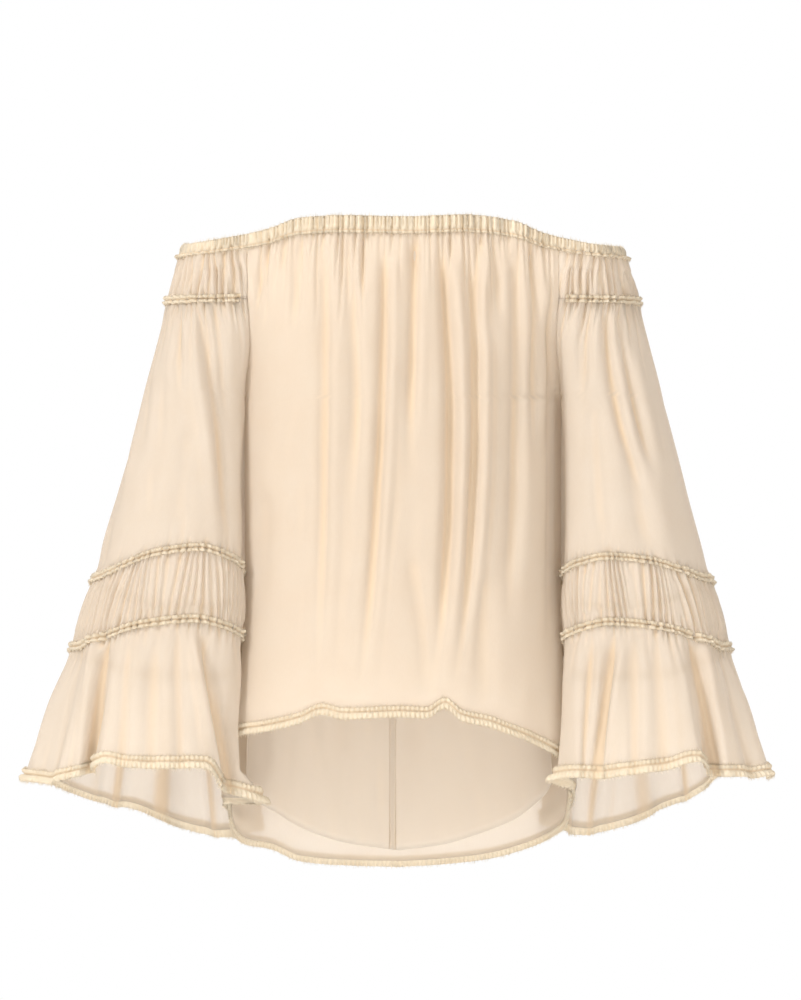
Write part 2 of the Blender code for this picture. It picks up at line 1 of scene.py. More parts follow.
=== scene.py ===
"""The looks of an off-the-shoulder silk blouse, hollow and filled out as worn, with nobody in it.

Sizes are in millimetres in the blouse's own frame: +Z up, -Y to the front, +X to the right of
somebody who looks at its front, with the origin in the middle of the neckline. They become metres
when a piece's mesh is made.
"""
import math
from collections import namedtuple

import bpy
import numpy as np
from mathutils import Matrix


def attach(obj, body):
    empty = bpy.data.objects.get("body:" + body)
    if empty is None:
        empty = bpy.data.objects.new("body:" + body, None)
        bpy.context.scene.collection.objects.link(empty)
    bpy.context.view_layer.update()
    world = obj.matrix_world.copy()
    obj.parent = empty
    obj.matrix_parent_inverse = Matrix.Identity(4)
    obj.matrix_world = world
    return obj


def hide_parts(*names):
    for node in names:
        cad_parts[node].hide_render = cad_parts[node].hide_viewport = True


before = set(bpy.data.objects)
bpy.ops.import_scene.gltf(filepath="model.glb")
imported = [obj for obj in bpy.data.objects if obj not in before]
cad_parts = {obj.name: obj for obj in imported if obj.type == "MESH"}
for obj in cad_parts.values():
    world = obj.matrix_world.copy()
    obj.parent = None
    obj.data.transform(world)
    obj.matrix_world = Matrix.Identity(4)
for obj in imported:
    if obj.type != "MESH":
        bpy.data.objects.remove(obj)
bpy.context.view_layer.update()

# Front of the body
# One width of sheer silk chiffon, gathered into the elastic neckline and sewn to the back at the
# sides. It hangs free in long soft folds, to a hem that is higher in front than at the sides.
MM = 0.001
CHIFFON_THICKNESS = 0.4
NECK_TRIM = (9.5, 7.0)
NECK_SHAPE_END = 61.0      # the neckline's rise has died out at this drop
UNDERARM = 150.0
BODY_HEM = 480.0
HEM_START = 472.0          # below this drop the body follows the hem's own line
HEM_RISE = 8.0
SIDE_LINE = -12.0
ROUNDNESS = 2.4
SEAM_TURN = 0.15 / 225     # half of a side seam's gap, in quarter rings

Level = namedtuple("Level", "height shift half_width front_depth back_depth")
BODY_LEVELS = (
    Level(-640, -4, 170.0, 104, 112),
    Level(-480, -4, 166.0, 101, 104),
    Level(-400, -1, 160.0, 97, 96),
    Level(-300, 0, 157.5, 96, 92),
    Level(-200, 0, 157.5, 99, 94),
    Level(-150, 0, 158.5, 102, 97),
    Level(-100, 0, 163.0, 103, 98),
    Level(-50, 0, 182.0, 98, 94),
    Level(0, 0, 198.0, 93, 91),
    Level(40, 0, 200.0, 92, 90),
)
ArmholePoint = namedtuple("ArmholePoint", "drop front back")
ARMHOLE = (
    ArmholePoint(-12, 152.0, 148.0),
    ArmholePoint(50, 153.0, 150.0),
    ArmholePoint(95, 155.5, 154.0),
    ArmholePoint(127, 157.7, 157.0),
    ArmholePoint(150, 158.5, 158.5),
)
NeckPoint = namedtuple("NeckPoint", "across front back")
NECK_LINE = (
    NeckPoint(-226, -6.0, -6),
    NeckPoint(-200, -4.0, -3),
    NeckPoint(-160, 2.0, 3),
    NeckPoint(-131, 8.5, 7),
    NeckPoint(-101, 18.0, 11),
    NeckPoint(-60, 20.5, 14),
    NeckPoint(0, 19.0, 14),
    NeckPoint(60, 21.0, 14),
    NeckPoint(106, 16.0, 10),
    NeckPoint(135, 5.0, 5),
    NeckPoint(163, -2.0, 0),
    NeckPoint(195, -7.0, -5),
    NeckPoint(226, -8.0, -8),
)
HemPoint = namedtuple("HemPoint", "turn body lining")
HEM_LINE = (
    HemPoint(-2.0, -618, -605),
    HemPoint(-1.75, -616, -597),
    HemPoint(-1.55, -611, -583),
    HemPoint(-1.4, -597, -567),
    HemPoint(-1.25, -590, -552),
    HemPoint(-1.1, -570, -533),
    HemPoint(-1.0, -534, -508),
    HemPoint(-0.9, -494, -475),
    HemPoint(-0.8, -475, -456),
    HemPoint(-0.6, -468, -448),
    HemPoint(-0.45, -460, -442),
    HemPoint(-0.35, -451, -436),
    HemPoint(-0.25, -455, -436),
    HemPoint(0.0, -453, -436),
    HemPoint(0.12, -454, -436),
    HemPoint(0.2, -445, -436),
    HemPoint(0.28, -457, -437),
    HemPoint(0.4, -463, -440),
    HemPoint(0.5, -471, -444),
    HemPoint(0.6, -479, -452),
    HemPoint(0.75, -493, -468),
    HemPoint(0.9, -508, -484),
    HemPoint(1.0, -538, -507),
    HemPoint(1.1, -566, -531),
    HemPoint(1.25, -582, -551),
    HemPoint(1.4, -596, -569),
    HemPoint(1.6, -609, -586),
    HemPoint(1.8, -615, -599),
    HemPoint(2.0, -618, -605),
)

# Each crease is a trough from top to bottom, half as deep at 0.83 widths from its middle, with a
# lip along its right side. x is where it lies at its top, halfway and at its bottom.
Crease = namedtuple("Crease", "top bottom top_x bow_x bottom_x depth width lip")
FRONT_CREASES = (
    Crease(15, -450, -78, -78, -85, 3.2, 7, 0.9),
    Crease(12, -290, -60, -46, -56, 2.6, 7, 0.4),
    Crease(12, -450, -18, -24, -43, 4.6, 6, 0.9),
    Crease(15, -220, 12, 9, 6, 4.2, 6, 0.6),
    Crease(8, -455, 36, 46, 27, 6.6, 7, 0.9),
    Crease(6, -445, 66, 69, 50, 4.2, 6, 1.5),
    Crease(14, -390, 109, 111, 101, 3.4, 7, 0.6),
    Crease(12, -230, 126, 130, 122, 4.0, 6, 0.5),
    Crease(-40, -450, 146, 151, 142, 4.5, 8, 0.2),
    Crease(14, -70, -131, -139, -147, 3.0, 5, 0.5),
    Crease(12, -90, -100, -104, -108, 2.6, 6, 0.4),
    Crease(12, -60, -39, -40, -40, 2.8, 4, 0.5),
    Crease(12, -80, 90, 92, 95, 2.4, 5, 0.4),
    Crease(12, -30, -116, -118, -120, 1.8, 4, 0.3),
    Crease(12, -22, -145, -149, -153, 1.6, 4, 0.3),
    Crease(12, -24, -7, -7, -8, 1.7, 4, 0.2),
    Crease(12, -26, 47, 49, 51, 1.8, 4, 0.4),
    Crease(12, -55, 76, 75, 74, 2.2, 4, 0.3),
    Crease(-30, -110, 83, 82, 79, 1.6, 5, 0.2),
    Crease(12, -50, 139, 140, 142, 2.2, 4, 0.2),
    Crease(-190, -440, -105, -99, -108, 1.4, 12, 0.3),
    Crease(-230, -455, -142, -138, -140, 1.6, 12, 0.2),
    Crease(-300, -455, 8, 20, 22, 1.8, 9, 0.4),
    Crease(-320, -460, 82, 78, 84, 1.6, 10, 0.4),
)


def read(rows, column, at):
    """A smooth value from one column of a table, at places along its first column."""
    places = np.array([row[0] for row in rows], float)
    values = np.array([getattr(row, column) for row in rows], float)
    steps = np.diff(places)
    rises = np.diff(values) / steps
    slopes = np.concatenate(([rises[0]], np.zeros(len(rises) - 1), [rises[-1]]))
    for i in range(1, len(rises)):
        if rises[i - 1] * rises[i] > 0:
            slopes[i] = 2 / (1 / rises[i - 1] + 1 / rises[i])
    at = np.clip(np.asarray(at, float), places[0], places[-1])
    i = np.clip(np.searchsorted(places, at, side="right") - 1, 0, len(steps) - 1)
    h = steps[i]
    t = (at - places[i]) / h
    return ((2 * t ** 3 - 3 * t ** 2 + 1) * values[i] + (t ** 3 - 2 * t ** 2 + t) * h * slopes[i]
            + (3 * t ** 2 - 2 * t ** 3) * values[i + 1] + (t ** 3 - t ** 2) * h * slopes[i + 1])


def eased(share):
    """0 to 1 with soft ends."""
    share = np.clip(share, 0, 1)
    return share * share * (3 - 2 * share)


def even_angles(half_width, depth):
    """Angles along a quarter ring, evenly spaced by length, for any share of the quarter."""
    angles = np.linspace(0, math.pi / 2, 400)
    across = half_width * np.sin(angles) ** (2 / ROUNDNESS)
    deep = depth * np.cos(angles) ** (2 / ROUNDNESS)
    lengths = np.concatenate(([0], np.cumsum(np.hypot(np.diff(across), np.diff(deep)))))
    return lengths / lengths[-1], angles


BODY_SHARES, BODY_ANGLES = even_angles(half_width=160, depth=98)


def neck_height(x, y):
    """Height of the neckline above the shoulders, at a place around it."""
    front = read(NECK_LINE, "front", x)
    back = read(NECK_LINE, "back", x)
    return front + (back - front) * np.clip((y + 40) / 80, 0, 1)


def neck_fade(drop):
    """How much of the neckline's shape is left at a drop below it."""
    return np.clip((NECK_SHAPE_END - drop) / (NECK_SHAPE_END + NECK_TRIM[0]), 0, 1)


def body_ring(turn, height):
    """A point on the body's smooth ring. turn is 0 at the front, 1 at the right side, 2 behind."""
    turn = np.where(turn > 2, turn - 4, turn)
    far = np.abs(turn)
    angle = np.interp(np.where(far > 1, 2 - far, far), BODY_SHARES, BODY_ANGLES)
    x = np.sign(turn) * read(BODY_LEVELS, "half_width", height) * np.sin(angle) ** (2 / ROUNDNESS)
    deep = np.cos(angle) ** (2 / ROUNDNESS)
    front = -read(BODY_LEVELS, "front_depth", height) * deep
    back = read(BODY_LEVELS, "back_depth", height) * deep
    return x + read(BODY_LEVELS, "shift", height), SIDE_LINE + np.where(far > 1, back, front)


def body_form(turn, drop, hem="body"):
    """A point on the smooth body at a turn and at a drop below the neckline."""
    turn = np.asarray(turn, float)
    x, y = body_ring(turn, -drop * np.ones_like(turn))
    hem_height = read(HEM_LINE, hem, np.where(turn > 2, turn - 4, turn))
    if drop <= UNDERARM:
        z = neck_height(x, y) * neck_fade(drop) - drop
    elif drop <= HEM_START:
        share = (drop - UNDERARM) / (HEM_START - UNDERARM)
        z = -UNDERARM + share * (hem_height + HEM_RISE + UNDERARM)
    else:
        z = hem_height + HEM_RISE - (drop - HEM_START)
    x, y = body_ring(turn, z)
    return np.stack([x, y, z], axis=-1)


def armhole_edge(drop, column):
    """How far an armhole edge lies from the middle of its panel, in quarter rings."""
    if drop >= UNDERARM:
        return 1.0
    share = read(ARMHOLE, column, drop) / read(BODY_LEVELS, "half_width", -drop)
    angle = math.asin(min(share, 1.0) ** (ROUNDNESS / 2))
    return float(np.interp(angle, BODY_ANGLES, BODY_SHARES))


def front_edge(drop):
    return armhole_edge(drop, "front") - SEAM_TURN


def outwards(points):
    """Outward directions of a sheet of points, rows going down and columns to the right."""
    across = np.cross(np.gradient(points, axis=0), np.gradient(points, axis=1))
    return across / np.linalg.norm(across, axis=2, keepdims=True)


def crease_depth(creases, x, z):
    """How far the creases push the cloth out at a place, or in where it is below 0."""
    push = np.zeros_like(x)
    for crease in creases:
        down = np.clip((crease.top - z) / (crease.top - crease.bottom), 0, 1)
        line = crease.top_x + (crease.bottom_x - crease.top_x) * down
        line = line + (crease.bow_x - (crease.top_x + crease.bottom_x) / 2) * 4 * down * (1 - down)
        strength = eased(down * 9) * eased((1 - down) * 2.2) * crease.depth
        away = (x - line) / crease.width
        push += strength * (0.5 * crease.lip * np.exp(-(away - 1.7) ** 2) - np.exp(-away ** 2))
    return push


def gathers(across, drop, seed, count, edge, reach, depth):
    """Small uneven gathers that run from a sewn edge. A reach below 0 runs up from it."""
    draw = np.random.default_rng(seed)
    push = np.zeros((len(drop), len(across)))
    for number in range(count):
        place = (number + draw.uniform(0.2, 0.8)) / count
        length = reach * draw.uniform(0.3, 1.0)
        deep = depth * draw.uniform(0.4, 1.2)
        wide = draw.uniform(0.16, 0.32) / count
        lean = draw.uniform(-0.7, 0.7) / count
        run = np.clip((drop - edge) / length, 0, 1)[:, None]
        away = (across[None, :] - place - lean * run) / (wide * (1 + run))
        push -= deep * (1 - run) ** 1.4 * np.exp(-away ** 2)
    return push


def slackness(x, z, seed, depth):
    """Wide, shallow unevenness of cloth that hangs slack."""
    draw = np.random.default_rng(seed)
    push = np.zeros_like(x)
    for wave in range(7):
        length = draw.uniform(26, 75)
        turn = draw.uniform(-0.45, 0.45)
        phase = draw.uniform(0, 2 * math.pi)
        along = x * math.cos(turn) + z * math.sin(turn)
        push += np.sin(2 * math.pi * along / length + phase + 1.5 * np.sin(z / 90 + phase))
    return push * depth / 7


def calm_edges(across, share):
    """0 at both side edges of a piece and 1 past a share of its width from them."""
    return eased(np.minimum(across, 1 - across) / share)


def front_cloth(across, drop):
    """The front's points and outward directions, for shares of its width and for drops."""
    form = np.array([body_form(front_edge(d) * (2 * across - 1), d) for d in drop])
    out = outwards(form)
    x, z = form[:, :, 0], form[:, :, 2]
    push = 1.7 * crease_depth(FRONT_CREASES, x, z) + slackness(x, z, 3, 1.8)
    push += gathers(across, drop, seed=11, count=52, edge=1, reach=110, depth=4.4)
    return form + out * (push * calm_edges(across, 0.05))[:, :, None], out


def colour_socket(sockets, name, value):
    sockets[name].default_value = (*value, 1)


def crepe_weave():
    """A node group: the crinkle and the threads of crepe chiffon, read along the cloth's own UV map."""
    group = bpy.data.node_groups.new("Crepe weave", "ShaderNodeTree")
    group.interface.new_socket("Crinkle scale", in_out="INPUT", socket_type="NodeSocketFloat")
    group.interface.new_socket("Pale", in_out="INPUT", socket_type="NodeSocketColor")
    group.interface.new_socket("Deep", in_out="INPUT", socket_type="NodeSocketColor")
    group.interface.new_socket("Colour", in_out="OUTPUT", socket_type="NodeSocketColor")
    group.interface.new_socket("Height", in_out="OUTPUT", socket_type="NodeSocketFloat")
    nodes, links = group.nodes, group.links
    given = nodes.new("NodeGroupInput")
    made = nodes.new("NodeGroupOutput")
    place = nodes.new("ShaderNodeTexCoord")
    grain = nodes.new("ShaderNodeMapping")
    grain.inputs["Scale"].default_value = (1.0, 0.28, 1.0)
    links.new(place.outputs["UV"], grain.inputs["Vector"])
    crinkle = nodes.new("ShaderNodeTexNoise")
    crinkle.inputs["Detail"].default_value = 2
    crinkle.inputs["Roughness"].default_value = 0.62
    links.new(grain.outputs["Vector"], crinkle.inputs["Vector"])
    links.new(given.outputs["Crinkle scale"], crinkle.inputs["Scale"])
    cloud = nodes.new("ShaderNodeTexNoise")
    cloud.inputs["Scale"].default_value = 26
    cloud.inputs["Detail"].default_value = 1
    links.new(place.outputs["UV"], cloud.inputs["Vector"])
    threads = nodes.new("ShaderNodeTexWave")
    threads.inputs["Scale"].default_value = 420
    threads.inputs["Distortion"].default_value = 3.0
    threads.inputs["Detail"].default_value = 0
    links.new(place.outputs["UV"], threads.inputs["Vector"])
    raised = nodes.new("ShaderNodeMath")
    raised.operation = "MULTIPLY_ADD"
    raised.inputs[1].default_value = 0.3
    links.new(threads.outputs["Fac"], raised.inputs[0])
    links.new(crinkle.outputs["Fac"], raised.inputs[2])
    share = nodes.new("ShaderNodeMath")
    share.operation = "MULTIPLY_ADD"
    share.inputs[1].default_value = 0.45
    links.new(cloud.outputs["Fac"], share.inputs[0])
    half = nodes.new("ShaderNodeMath")
    half.operation = "MULTIPLY"
    half.inputs[1].default_value = 0.55
    links.new(crinkle.outputs["Fac"], half.inputs[0])
    links.new(half.outputs["Value"], share.inputs[2])
    spread = nodes.new("ShaderNodeMapRange")
    spread.inputs["From Min"].default_value = 0.3
    spread.inputs["From Max"].default_value = 0.7
    links.new(share.outputs["Value"], spread.inputs["Value"])
    tint = nodes.new("ShaderNodeMix")
    tint.data_type = "RGBA"
    links.new(spread.outputs["Result"], tint.inputs["Factor"])
    links.new(given.outputs["Deep"], tint.inputs["A"])
    links.new(given.outputs["Pale"], tint.inputs["B"])
    links.new(tint.outputs["Result"], made.inputs["Colour"])
    links.new(raised.outputs["Value"], made.inputs["Height"])
    return group


CREPE = crepe_weave()
FOLD_REACH = 9.0           # how far to each side a fold's depth is measured from
FOLD_DEPTH = 2.0           # depth of a trough that has the painted fold shade in full
STITCH_SHADE_WIDTHS = (0.3, 1.3)   # half widths of the painted shade along a stitch line: its middle, and to where it fades


def silk(name, pale, deep, fold_shade_colour, alpha, glow, roughness, sheen, crinkle_scale, bump, stitch=None):
    """A silk cloth, denser down in its folds, with shade painted into its colour there.

    glow is the share of light that comes through the cloth from behind it. stitch is the colour
    of painted shade along a narrow line where it is sewn down, at V = 0.
    """
    material = bpy.data.materials.new(name)
    material.use_nodes = True
    nodes, links = material.node_tree.nodes, material.node_tree.links
    shader = nodes["Principled BSDF"]
    shader.inputs["Roughness"].default_value = roughness
    shader.inputs["Sheen Weight"].default_value = sheen
    shader.inputs["Sheen Roughness"].default_value = 0.45
    shader.inputs["Specular IOR Level"].default_value = 0.25
    weave = nodes.new("ShaderNodeGroup")
    weave.node_tree = CREPE
    weave.inputs["Crinkle scale"].default_value = crinkle_scale
    colour_socket(weave.inputs, "Pale", pale)
    colour_socket(weave.inputs, "Deep", deep)
    deep_in = nodes.new("ShaderNodeAttribute")
    deep_in.attribute_name = "fold"
    dense = nodes.new("ShaderNodeMapRange")
    dense.inputs["To Min"].default_value = alpha
    dense.inputs["To Max"].default_value = alpha + 0.6 * (1 - alpha)
    links.new(deep_in.outputs["Fac"], dense.inputs["Value"])
    links.new(dense.outputs["Result"], shader.inputs["Alpha"])
    # Painted shade: down in the folds the colour goes over to the darker fold shade colour.
    fold = nodes.new("ShaderNodeMix")
    fold.data_type = "RGBA"
    colour_socket(fold.inputs, "B", fold_shade_colour)
    links.new(deep_in.outputs["Fac"], fold.inputs["Factor"])
    links.new(weave.outputs["Colour"], fold.inputs["A"])
    colour = fold.outputs["Result"]
    # Painted shade along the stitch line, where a trim is pinched between its two ruffles.
    if stitch:
        place = nodes.new("ShaderNodeTexCoord")
        split = nodes.new("ShaderNodeSeparateXYZ")
        links.new(place.outputs["UV"], split.inputs["Vector"])
        off_line = nodes.new("ShaderNodeMath")
        off_line.operation = "ABSOLUTE"
        links.new(split.outputs["Y"], off_line.inputs[0])
        beyond = nodes.new("ShaderNodeMapRange")
        beyond.inputs["From Min"].default_value = STITCH_SHADE_WIDTHS[0] * MM
        beyond.inputs["From Max"].default_value = STITCH_SHADE_WIDTHS[1] * MM
        links.new(off_line.outputs["Value"], beyond.inputs["Value"])
        stitch_shading = nodes.new("ShaderNodeMix")
        stitch_shading.data_type = "RGBA"
        colour_socket(stitch_shading.inputs, "A", stitch)
        links.new(beyond.outputs["Result"], stitch_shading.inputs["Factor"])
        links.new(colour, stitch_shading.inputs["B"])
        colour = stitch_shading.outputs["Result"]
    links.new(colour, shader.inputs["Base Color"])
    relief = nodes.new("ShaderNodeBump")
    relief.inputs["Strength"].default_value = bump
    relief.inputs["Distance"].default_value = 0.4 * MM
    links.new(weave.outputs["Height"], relief.inputs["Height"])
    links.new(relief.outputs["Normal"], shader.inputs["Normal"])
    through = nodes.new("ShaderNodeBsdfTranslucent")
    colour_socket(through.inputs, "Color", pale)
    mixed = nodes.new("ShaderNodeMixShader")
    mixed.inputs["Fac"].default_value = glow
    links.new(shader.outputs["BSDF"], mixed.inputs[1])
    links.new(through.outputs["BSDF"], mixed.inputs[2])

    # For shadows only the share of light that passes is worked out, which is the same and quicker.
    clear = nodes.new("ShaderNodeMath")
    clear.operation = "MULTIPLY_ADD"
    clear.inputs[1].default_value = glow - 1
    clear.inputs[2].default_value = 1 - glow
    links.new(dense.outputs["Result"], clear.inputs[0])
    passed = nodes.new("ShaderNodeBsdfTransparent")
    links.new(clear.outputs["Value"], passed.inputs["Color"])
    ray = nodes.new("ShaderNodeLightPath")
    chosen = nodes.new("ShaderNodeMixShader")
    links.new(ray.outputs["Is Shadow Ray"], chosen.inputs["Fac"])
    links.new(mixed.outputs["Shader"], chosen.inputs[1])
    links.new(passed.outputs["BSDF"], chosen.inputs[2])
    links.new(chosen.outputs["Shader"], nodes["Material Output"].inputs["Surface"])
    return material


# Each silk's third colour is the shade painted down in its folds.
BODY_CHIFFON = silk("Body chiffon", pale=(0.95, 0.84, 0.71), deep=(0.92, 0.79, 0.65),
                    fold_shade_colour=(0.88, 0.71, 0.52), alpha=0.48, glow=0.22, roughness=0.75, sheen=0.2,
                    crinkle_scale=620, bump=0.5)


def fold_share(points):
    """How deep each point of a sheet lies in a fold, from 0 on open cloth to 1 in a trough."""
    spacing = np.linalg.norm(np.diff(points, axis=1), axis=2).mean()
    half = max(1, round(FOLD_REACH / spacing))
    padded = np.pad(points, ((0, 0), (half + 1, half), (0, 0)), mode="edge")
    sums = np.cumsum(padded, axis=1)
    width = 2 * half + 1
    smooth = (sums[:, width:] - sums[:, :-width]) / width
    return np.clip(((smooth - points) * outwards(points)).sum(axis=2) / FOLD_DEPTH, 0, 1)


def cut_cloth(name, points, width, length, material, stitch=0.0, closed=False):
    """A flat grid of the cut cloth, laid on points: rows going down and columns to the right.

    Its UV map is the flat cut in metres. V is 0 at the stitch line, a share down the cloth.
    """
    rows, columns = points.shape[:2]
    bpy.ops.object.select_all(action="DESELECT")
    bpy.ops.mesh.primitive_grid_add(x_subdivisions=columns - 1, y_subdivisions=rows - 1, size=1)
    piece = bpy.context.object
    piece.name = name
    mesh = piece.data
    mesh.name = name
    mesh.vertices.foreach_set("co", (points[::-1].reshape(-1) * MM).astype(np.float32))
    # How deep each point lies in a fold, which the materials use for painted shade and for density.
    folds = mesh.attributes.new("fold", "FLOAT", "POINT")
    folds.data.foreach_set("value", fold_share(points)[::-1].reshape(-1).astype(np.float32))
    layer = mesh.uv_layers.active
    flat = np.empty(len(mesh.loops) * 2, np.float32)
    layer.uv.foreach_get("vector", flat)
    flat = flat.reshape(-1, 2)
    flat[:, 0] *= width
    flat[:, 1] = (flat[:, 1] - 1 + stitch) * length
    layer.uv.foreach_set("vector", flat.reshape(-1))
    mesh.update()
    if closed:
        bpy.ops.object.mode_set(mode="EDIT")
        bpy.ops.mesh.select_all(action="SELECT")
        bpy.ops.mesh.remove_doubles(threshold=0.01 * MM)
        bpy.ops.object.mode_set(mode="OBJECT")
    wall = piece.modifiers.new("Thickness", "SOLIDIFY")
    wall.thickness = CHIFFON_THICKNESS * MM
    wall.offset = -1
    bpy.ops.object.modifier_apply(modifier=wall.name)
    bpy.ops.object.shade_smooth()
    mesh.materials.append(material)
    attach(piece, "root")
    return piece


def steps(start, stop, size):
    """Even places from start to stop, about a size apart."""
    return np.linspace(start, stop, max(2, round(abs(stop - start) / size) + 1))


front = cut_cloth("front_panel_cloth", front_cloth(steps(0, 1, 1 / 300), steps(0, BODY_HEM, 5))[0],
                  0.56, 0.50, BODY_CHIFFON)
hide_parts("front_panel")

# Back of the body
# The same chiffon behind, longer than the front, so that its hem shows below it. It is gathered
# into the neckline and falls in loose folds.
BACK_CREASES = (
    Crease(12, -520, -112, -108, -104, 4.0, 10, 0.6),
    Crease(12, -300, -70, -66, -60, 3.5, 8, 0.6),
    Crease(12, -560, -24, -30, -22, 5.0, 9, 0.7),
    Crease(12, -240, 8, 10, 12, 3.0, 7, 0.5),
    Crease(12, -540, 46, 40, 50, 5.0, 9, 0.8),
    Crease(12, -340, 84, 88, 92, 4.0, 8, 0.5),
    Crease(12, -500, 122, 118, 112, 4.0, 9, 0.5),
    Crease(12, -90, -92, -90, -90, 2.2, 5, 0.4),
    Crease(12, -70, -48, -46, -45, 2.4, 5, 0.4),
    Crease(12, -60, -6, -8, -8, 2.0, 4, 0.3),
    Crease(12, -80, 27, 27, 26, 2.4, 5, 0.4),
    Crease(12, -70, 66, 65, 66, 2.2, 5, 0.3),
    Crease(12, -110, 104, 102, 102, 2.4, 6, 0.4),
    Crease(12, -120, -134, -136, -134, 2.6, 6, 0.3),
    Crease(-330, -600, 4, 10, 8, 3.2, 12, 0.5),
    Crease(-360, -600, -66, -62, -70, 3.0, 12, 0.5),
    Crease(-350, -590, 88, 82, 86, 3.0, 12, 0.5),
)


def back_edge(drop):
    return 2 - armhole_edge(drop, "back") + SEAM_TURN


def back_cloth(across, drop):
    """The back's points and outward directions. Its columns go to the right seen from behind."""
    form = np.array([body_form(back_edge(d) + (4 - 2 * back_edge(d)) * across, d) for d in drop])
    out = outwards(form)
    x, z = form[:, :, 0], form[:, :, 2]
    push = 1.5 * crease_depth(BACK_CREASES, x, z) + slackness(x, z, 5, 1.8)
    push += gathers(across, drop, seed=12, count=52, edge=1, reach=110, depth=4.0)
    return form + out * (push * calm_edges(across, 0.05))[:, :, None], out


back = cut_cloth("back_panel_cloth", back_cloth(steps(0, 1, 1 / 220), steps(0, BODY_HEM, 6))[0],
                 0.56, 0.64, BODY_CHIFFON)
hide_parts("back_panel")

# Lining
# Three smooth pieces of closely woven silk inside the body: one in front and two behind, which
# meet in a seam down the middle of the back. They hang from the neckline, shorter than the chiffon.
LINING_TOP_INSET = 8.0
LINING_INSET = 15.0
CENTRE_BACK_SEAM = 0.03
SEAM_ALLOWANCE = 7.0
QUARTER_RING = 225.0
LINING_SILK = silk("Lining silk", pale=(0.97, 0.91, 0.83), deep=(0.95, 0.87, 0.78),
                   fold_shade_colour=(0.92, 0.79, 0.64), alpha=0.62, glow=0.5, roughness=0.55, sheen=0.15,
                   crinkle_scale=900, bump=0.2)


def lining_cloth(start, stop, across, drop, seed):
    """Part of the lining between two side edges, which are turns that depend on the drop."""
    turns = [start(d) + (stop(d) - start(d)) * across for d in drop]
    before, form, after = (
        np.array([body_form(turn + step, d, "lining") for turn, d in zip(turns, drop)])
        for step in (-0.02, 0, 0.02))
    out = np.cross(np.gradient(form, axis=0), after - before)
    out /= np.linalg.norm(out, axis=2, keepdims=True)
    inset = LINING_TOP_INSET + (LINING_INSET - LINING_TOP_INSET) * eased((drop - 12) / 48)
    calm = calm_edges(across, 0.08) * eased((drop[:, None] - 30) / 60)
    ripple = slackness(form[:, :, 0], form[:, :, 2], seed, 2.2) * calm
    return form - out * (inset[:, None] - ripple)[:, :, None]


# The two allowances of the centre-back seam, pressed open on the lining's inner face.
back_seam = 2 + CENTRE_BACK_SEAM
half_open = SEAM_ALLOWANCE / 2 / QUARTER_RING
points = lining_cloth(lambda d: back_seam - half_open, lambda d: back_seam + half_open,
                      steps(0, 1, 1 / 6), steps(10, BODY_HEM, 6), 24)
raised = 0.5 + 0.5 * np.abs(np.sin(np.linspace(0, 2 * math.pi, 7)))
points = points - np.array([0, 1, 0]) * raised[None, :, None]
seam_strip = cut_cloth("lining_seam_silk", points, SEAM_ALLOWANCE * MM, 0.62, LINING_SILK)

for name, start, stop, columns, seed, width, length, area in (
        ("front", lambda d: -front_edge(d), front_edge, 120, 21, 0.47, 0.48, 0.185),
        ("back_right", back_edge, lambda d: back_seam - SEAM_TURN, 60, 22, 0.25, 0.62, 0.115),
        ("back_left", lambda d: back_seam + SEAM_TURN, lambda d: 4 - back_edge(d), 60, 23,
         0.25, 0.62, 0.115)):
    points = lining_cloth(start, stop, steps(0, 1, 1 / columns), steps(0, BODY_HEM, 8), seed)
    lining = cut_cloth(f"lining_{name}_silk", points, width, length, LINING_SILK)
    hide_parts(f"lining_{name}")

# Sleeves
# Each is a wide tube of the same chiffon in four pieces, sewn one below the other: a band of
# gathers over the shoulder, a full upper sleeve, a narrow gathered cuff band and a flounce.
SHOULDER_SEAM = 50.0
ELBOW_SEAM = 330.0
CUFF_SEAM = 397.0
SLEEVE_HEM = 521.0
SEAM_TRIM = 7.0
SEAM_GAP = 0.3
SLEEVE_GIRTH = 420.0
SEAM_PULL = 0.12
HEM_TRIM_BELOW = 9.5
UNDER_HEM = 55.0           # how far the flounce may reach in under the body's hem
UNDER_HEM_GAP = 15.0       # how far below the hem's trim it starts to turn in
UNDER_HEM_RISE = 28.0      # height over which it turns in
SIDES = {-1: "left", 1: "right"}
SleeveLevel = namedtuple(
    "SleeveLevel",
    "drop inner outer sway centre_y front_depth back_depth lift_left lift_right sink clearance")
SLEEVE_LEVELS = (
    SleeveLevel(-12, 112, 218, 0, -4, 76, 61, 0, 0, 0, 3.0),
    SleeveLevel(20, 113, 225, 0, -4, 76, 62, 0, 0, 0, 3.0),
    SleeveLevel(50, 118, 234, 0, -4, 75, 63, 0, 0, 0, 3.0),
    SleeveLevel(95, 134, 246, 0, -4, 76, 66, 2, 1, 2, 3.0),
    SleeveLevel(150, 149, 260, 0, -2, 78, 73, 8, 5, 6, 3.0),
    SleeveLevel(190, 149, 270, 0, 0, 80, 79, 14, 10, 10, 4.0),
    SleeveLevel(250, 147, 286, 0, 2, 83, 84, 24, 17, 18, 5.0),
    SleeveLevel(330, 145, 308, -1, 4, 87, 87, 36, 27, 26, 6.0),
    SleeveLevel(397, 142, 328, -2.5, 5, 91, 91, 33, 30, 32, 6.5),
    SleeveLevel(450, 136, 347, -3.5, 4, 98, 98, 29, 26, 40, 8.0),
    SleeveLevel(540, 128, 373, -4.5, 2, 108, 108, 26, 22, 50, 9.0),
)
Rise = namedtuple("Rise", "around share")
RING_TILT = (
    Rise(0.0, 0.0),
    Rise(0.08, 0.3),
    Rise(0.14, 0.75),
    Rise(0.2, 1.0),
    Rise(0.28, 0.85),
    Rise(0.35, 0.45),
    Rise(0.4, 0.2),
    Rise(0.5, 0.0),
    Rise(0.6, -0.35),
    Rise(0.7, -0.9),
    Rise(0.8, -1.0),
    Rise(0.9, -0.6),
    Rise(1.0, 0.0),
)
